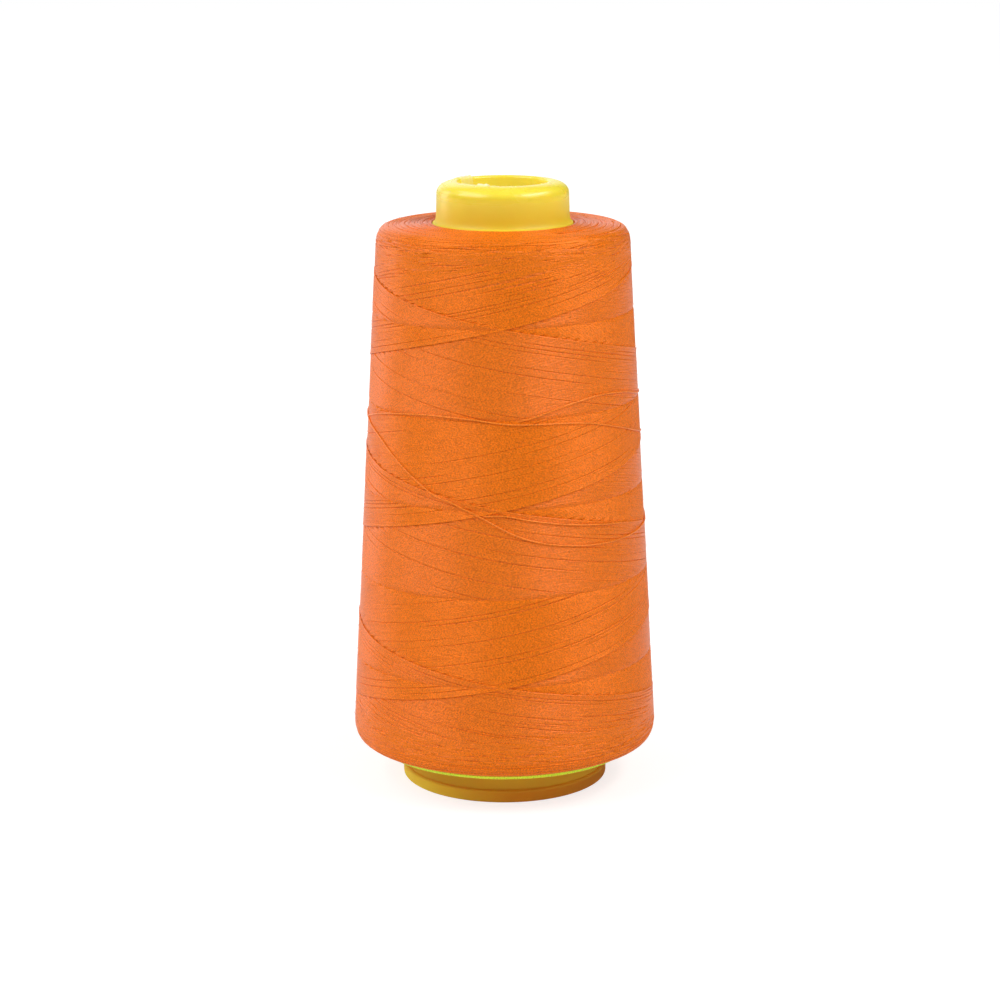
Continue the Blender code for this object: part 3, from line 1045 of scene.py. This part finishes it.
def make_camera():
    camera = bpy.data.cameras.new("photo_view")
    camera.sensor_width = SENSOR
    camera.lens = FOCAL_PIXELS / PHOTO_SIDE * SENSOR
    camera.clip_start = 0.01
    camera.clip_end = 50
    view = bpy.data.objects.new("photo_view", camera)
    tilt = Matrix.Rotation(math.radians(90 - CAMERA_DOWN), 4, "X")
    roll = Matrix.Rotation(math.radians(CAMERA_ROLL), 4, "Z")
    view.matrix_world = Matrix.Translation(Vector(CAMERA_PLACE) * MM) @ tilt @ roll
    bpy.context.scene.collection.objects.link(view)
    bpy.context.scene.camera = view


def soft_light(name, azimuth, elevation, reach, size, watts):
    """A softbox that looks at the middle of the cone, with its sizes in metres."""
    light = bpy.data.lights.new(name, "AREA")
    light.shape = "RECTANGLE"
    light.size, light.size_y = size
    light.energy = watts
    holder = bpy.data.objects.new(name, light)
    turn, climb = math.radians(azimuth), math.radians(elevation)
    level = math.cos(climb)
    direction = Vector((math.sin(turn) * level, -math.cos(turn) * level, math.sin(climb)))
    holder.location = Vector((0, 0, HEIGHT / 2 * MM)) + direction * reach
    holder.rotation_euler = direction.to_track_quat("Z", "Y").to_euler()
    bpy.context.scene.collection.objects.link(holder)


SOFTBOXES = (  # name, degrees round from the front, degrees up, reach, size, watts; in metres
    ("left_softbox", -65, 40, 1.6, (1.4, 0.8), 13.9),
    ("left_rim_softbox", -121, 14, 1.2, (0.5, 0.8), 2.9),
    ("right_softbox", 61, 40, 1.6, (1.2, 0.9), 9.0),
    ("left_strip", -86, 58, 1.2, (1.2, 0.16), 2.0),
    ("right_strip", 72, 50, 0.45, (0.4, 0.1), 0.75),
)
ROOM_DIM = 0.07
ROOM_BRIGHT = 1.35
ROOM_BRIGHT_SIDE = (-0.24, 0.956, 0.17)  # behind the cone, and a little to its left
ROOM_BRIGHT_RANGE = (0.84, 1.0)  # how nearly a direction points there, from dim to bright
ROOM_IN_FRONT = 0.05
ROOM_FRONT_RANGE = (-0.9, -0.2)
ROOM_ABOVE = 0.3
ROOM_ABOVE_RANGE = (0.6, 1.0)
FLOOR_BOUNCE = 0.72
FLOOR_UNDERLIGHT = 0.13  # a light table's own light, up on to the lower shoulder
FLOOR_SEEN = 0.38  # white of the floor as the camera sees it under the lights
FLOOR_NEAR_GLOW = 0.75  # and what is added to it near the cone and far from it
FLOOR_FAR_GLOW = 0.9
FLOOR_GLOW_RANGE = (0.04, 0.5)  # metres from the cone's axis


def seen_or_lit(tree, seen, lit):
    """One value for what the camera sees, and another for the light on other things."""
    path = tree.nodes.new("ShaderNodeLightPath")
    made = tree.nodes.new("ShaderNodeMix")
    feed(tree, made.inputs[0], path.outputs["Is Camera Ray"])
    feed(tree, made.inputs[2], lit)
    feed(tree, made.inputs[3], seen)
    return made.outputs[0]


def make_floor():
    deselect()
    bpy.ops.mesh.primitive_plane_add(size=30, location=(0, 0, 0))
    floor = bpy.context.active_object
    floor.name = "floor"
    white, tree, shader = new_material("pale_floor", (1, 1, 1), 0.9, Specular_IOR_Level=0.0)
    place = tree.nodes.new("ShaderNodeTexCoord").outputs["Object"]
    reach = tree.nodes.new("ShaderNodeVectorMath")
    reach.operation = "LENGTH"
    feed(tree, reach.inputs[0], place)
    reach = reach.outputs["Value"]
    glow = ranged(tree, reach, *FLOOR_GLOW_RANGE, FLOOR_NEAR_GLOW, FLOOR_FAR_GLOW)
    feed(tree, shader.inputs["Base Color"], seen_or_lit(tree, FLOOR_SEEN, FLOOR_BOUNCE))
    shader.inputs["Emission Color"].default_value = (1, 1, 1, 1)
    feed(tree, shader.inputs["Emission Strength"], seen_or_lit(tree, glow, FLOOR_UNDERLIGHT))
    floor.data.materials.append(white)


def make_room():
    """A white room that is seen evenly, and lights the cone most from its left and behind."""
    world = bpy.data.worlds.new("studio")
    world.use_nodes = True
    tree = world.node_tree
    background = tree.nodes["Background"]
    background.inputs["Color"].default_value = (1, 1, 1, 1)
    direction = tree.nodes.new("ShaderNodeTexCoord").outputs["Generated"]
    toward = tree.nodes.new("ShaderNodeVectorMath")
    toward.operation = "DOT_PRODUCT"
    feed(tree, toward.inputs[0], direction)
    feed(tree, toward.inputs[1], ROOM_BRIGHT_SIDE)
    light = ranged(tree, toward.outputs["Value"], *ROOM_BRIGHT_RANGE, ROOM_DIM, ROOM_BRIGHT)
    behind, above = parts_of(tree, direction)[1:]
    in_front = ranged(tree, behind, *ROOM_FRONT_RANGE, ROOM_IN_FRONT, 0.0)
    light = sum_of(tree, "ADD", light, in_front)
    overhead = ranged(tree, above, *ROOM_ABOVE_RANGE, 0.0, ROOM_ABOVE)
    light = sum_of(tree, "ADD", light, overhead)
    feed(tree, background.inputs["Strength"], seen_or_lit(tree, 1.0, light))
    bpy.context.scene.world = world


def make_stage():
    bpy.context.scene.view_settings.view_transform = "Standard"
    make_room()
    make_floor()
    for softbox in SOFTBOXES:
        soft_light(*softbox)


# ---------------------------------------------------------------- the whole thing

make_camera()
make_stage()

moulded_cone = make_moulded_cone()
moulded_cone.data.materials.append(plastic_material())
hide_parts("cone_tube")

ORANGE = (0.90, 0.205, 0.006)
# lighter than ORANGE: painted light on the loose turns and stray fibres that stand proud
LIT_LOOSE_ORANGE = (0.96, 0.255, 0.02)
LIME = (0.72, 0.98, 0.04)
PAINTED_LIME_GLOW = (0.6, 0.8, 0.02, 1.0)  # painted glow that keeps the lime turns bright in the shade under the package
SHEEN = {"Metallic": 0.14, "Specular_Tint": (1.0, 0.5, 0.85, 1.0)}
spun = spun_thread_group()
falling_thread = thread_material("falling_thread", ORANGE, spun, Specular_IOR_Level=0.38, **SHEEN)
orange_thread = thread_material("orange_thread", ORANGE, spun, Specular_IOR_Level=0.22, **SHEEN)
lit_loose_thread = thread_material(
    "lit_loose_orange_thread", LIT_LOOSE_ORANGE, spun, Specular_IOR_Level=0.32, **SHEEN
)
# painted glow: the lime turns' emission lifts them out of the shade under the package
lime_thread = thread_material(
    "lime_thread", LIME, spun, Emission_Color=PAINTED_LIME_GLOW, Emission_Strength=0.12
)
packed_thread = packed_material("packed_orange_thread", ORANGE, spun)

winding = wind_package()
package_body = make_package_body(winding)
package_body.data.materials.append(packed_thread)
thread_pieces = [package_body]
for kind in ("newer_rising", "older_rising", "newer_falling", "older_falling", "top", "under"):
    piece = tubes(kind + "_turns", shown_runs(winding, kind), 6, THREAD_WIDTH, THREAD)
    piece.data.materials.append(falling_thread if "falling" in kind else orange_thread)
    thread_pieces.append(piece)

loose = []
for number, places in enumerate((SLIPPED_TURN, FORKED_TURN, SAGGING_TURN)):
    loose.append(loose_run(winding, places, number))
for name, runs, sides, width, finish in (
    ("loose_turns", loose, 10, LOOSE_WIDTH, lit_loose_thread),
    ("lime_turns", lime_runs(), 8, LIME_WIDTH, lime_thread),
    ("stray_fibres", fibre_runs(winding), 3, FIBRE_WIDTH, lit_loose_thread),
):
    piece = tubes(name, runs, sides, width, width)
    piece.data.materials.append(finish)
    thread_pieces.append(piece)

for piece in thread_pieces:
    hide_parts("thread_package")
for piece in (moulded_cone, *thread_pieces):
    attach(piece, "root")
